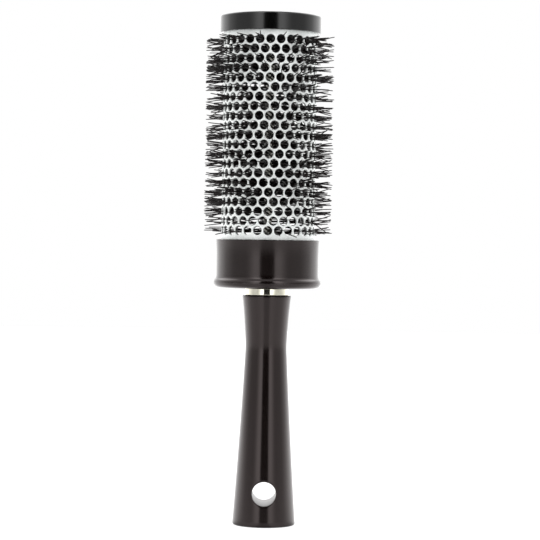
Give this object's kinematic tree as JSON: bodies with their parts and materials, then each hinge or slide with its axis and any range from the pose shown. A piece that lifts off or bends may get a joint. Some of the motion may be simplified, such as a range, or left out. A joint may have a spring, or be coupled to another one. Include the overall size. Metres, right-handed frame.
{
  "type": "round barrel hair brush",
  "caption": "Round hair brush with a flared handle, a hanging hole, a collar, and a perforated metal barrel round a twisted-wire nylon brush, and an end cap.",
  "frame": {"origin": "centre of the handle's flat end face", "axes": "+Z along the brush's axis from the handle to the end cap; -Y is the front, where the bottom row has a hole, and the hanging hole runs along Y"},
  "size_m": [0.0594, 0.0594, 0.2342],
  "materials": {
    "black_gloss": "glossy black moulded plastic",
    "inner_plastic": "matt black moulded plastic",
    "coated_barrel": "satin pale grey coating with a fine speckle",
    "bright_nickel": "polished, slightly warm plating",
    "steel": "turned steel",
    "brass": "turned brass",
    "twisted_wire": "drawn wire, slightly dull",
    "nylon_bristle": "dark nylon filaments"
  },
  "bodies": {
    "root": {"handle": "black_gloss", "handle_insert": "brass", "ferrule_ring": "bright_nickel", "collar": "black_gloss", "lower_plug": "inner_plastic", "barrel": "coated_barrel", "upper_plug": "inner_plastic", "end_cap": "black_gloss", "cap_badge_disc": "black_gloss", "wire_stem": "twisted_wire", "cap_washer": "steel", "cap_nut": "steel", "bristle_tier_1": "nylon_bristle", "bristle_tier_2": "nylon_bristle", "bristle_tier_3": "nylon_bristle", "bristle_tier_4": "nylon_bristle", "bristle_tier_5": "nylon_bristle", "bristle_tier_6": "nylon_bristle", "bristle_tier_7": "nylon_bristle"}
  },
  "joints": []
}
